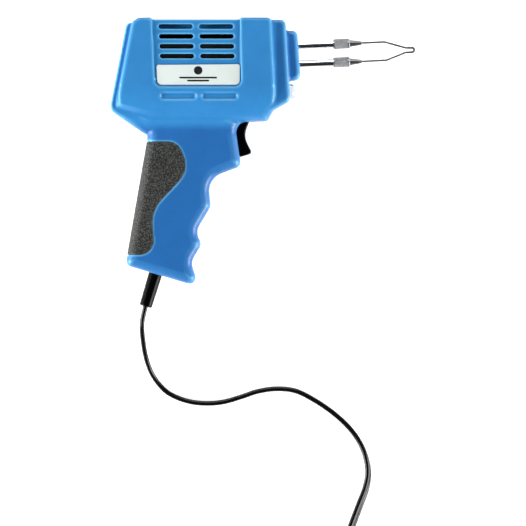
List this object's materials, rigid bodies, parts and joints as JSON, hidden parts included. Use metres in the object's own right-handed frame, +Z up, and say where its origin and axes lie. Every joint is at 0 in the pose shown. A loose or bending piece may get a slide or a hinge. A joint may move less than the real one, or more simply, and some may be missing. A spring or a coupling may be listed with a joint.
{
  "type": "transformer soldering gun",
  "caption": "Pistol-shaped transformer soldering gun with a vented two-shell body, soft grip pad, trigger, twin electrode tubes, bent wire tip and a coiled mains lead.",
  "frame": {"origin": "on the table under the middle of the gun's box, the mains lead left out; the gun lies on its left cheek", "axes": "+X from the back of the body to the tip, +Y the gun's up, from the grip's foot to the top of the body, +Z up from the table, from the left cheek to the right"},
  "size_m": [0.1975, 0.4256, 0.06],
  "materials": {
    "blue_shell": "semi-gloss moulded plastic",
    "soft_pad": "grained soft plastic",
    "black_plastic": "satin",
    "white_label": "satin film",
    "screw_steel": "zinc plated",
    "core_steel": "varnished laminations",
    "copper": "copper",
    "bobbin_plastic": "natural plastic",
    "chrome_plate": "nickel plated, polished",
    "phenolic": "phenolic board",
    "tip_wire_metal": "heat-darkened copper wire",
    "clear_glass": "clear",
    "brass": "polished",
    "cord_rubber": "smooth sheath"
  },
  "bodies": {
    "gun": {"housing_right": "blue_shell", "housing_left": "blue_shell", "grip_pad_right": "soft_pad", "grip_pad_left": "soft_pad", "label_right": "white_label", "label_left": "white_label", "housing_screw_1": "screw_steel", "housing_screw_2": "screw_steel", "housing_screw_3": "screw_steel", "housing_screw_4": "screw_steel", "housing_screw_5": "screw_steel", "housing_screw_6": "screw_steel", "core_limbs": "core_steel", "core_keeper": "core_steel", "core_bolt_1": "screw_steel", "core_bolt_2": "screw_steel", "bobbin": "bobbin_plastic", "primary_winding": "copper", "secondary_loop": "copper", "tube_spacer": "phenolic", "electrode_tube_upper": "chrome_plate", "electrode_tube_lower": "chrome_plate", "collet_jaw_upper": "chrome_plate", "collet_jaw_lower": "chrome_plate", "lamp_bulb": "clear_glass", "lamp_base": "brass", "lamp_holder": "bobbin_plastic", "trigger_pin": "screw_steel", "switch_body": "black_plastic", "switch_spring": "screw_steel", "strain_relief": "black_plastic", "cord_inner_end": "cord_rubber", "cord_clamp": "bobbin_plastic", "cord_clamp_screw_1": "screw_steel", "cord_clamp_screw_2": "screw_steel", "live_lead": "cord_rubber", "return_lead": "cord_rubber", "switched_lead": "cord_rubber", "mains_cord": "cord_rubber", "cord_coil": "cord_rubber", "cord_tail": "cord_rubber", "plug_body": "black_plastic", "plug_pin_left": "chrome_plate", "plug_pin_right": "chrome_plate"},
    "trigger": {"trigger": "black_plastic"},
    "plunger": {"switch_plunger": "bobbin_plastic"},
    "sleeve_upper": {"clamp_sleeve_upper": "chrome_plate"},
    "sleeve_lower": {"clamp_sleeve_lower": "chrome_plate"},
    "tip": {"tip_wire": "tip_wire_metal"}
  },
  "joints": [
    {"name": "trigger_pull", "type": "hinge", "parent": "gun", "child": "trigger", "pos_m": [-0.014, 0.0216, 0.03], "axis": [0, 0, -1], "range_deg": [0, 9], "stiffness_Nm_per_rad": 0.3, "springref_deg": -8.59},
    {"name": "plunger_slide", "type": "slide", "parent": "gun", "child": "plunger", "axis": [-1, 0, 0], "range_m": [0, 0.0033], "deforming": ["switch_spring"]},
    {"name": "upper_sleeve_turn", "type": "hinge", "parent": "gun", "child": "sleeve_upper", "pos_m": [0.04458, 0.06811, 0.03], "axis": [0.9993, 0.0384, 0], "range_deg": [0, 360]},
    {"name": "lower_sleeve_turn", "type": "hinge", "parent": "gun", "child": "sleeve_lower", "pos_m": [0.04458, 0.05641, 0.03], "axis": [0.9993, 0.0384, 0], "range_deg": [0, 360]},
    {"name": "tip_pull_out", "type": "slide", "parent": "gun", "child": "tip", "axis": [0.9993, 0.0384, 0], "range_m": [0, 0.03]}
  ],
  "couplings": [
    {"joint": "plunger_slide", "follows": "trigger_pull", "m_per_rad": 0.0204}
  ]
}
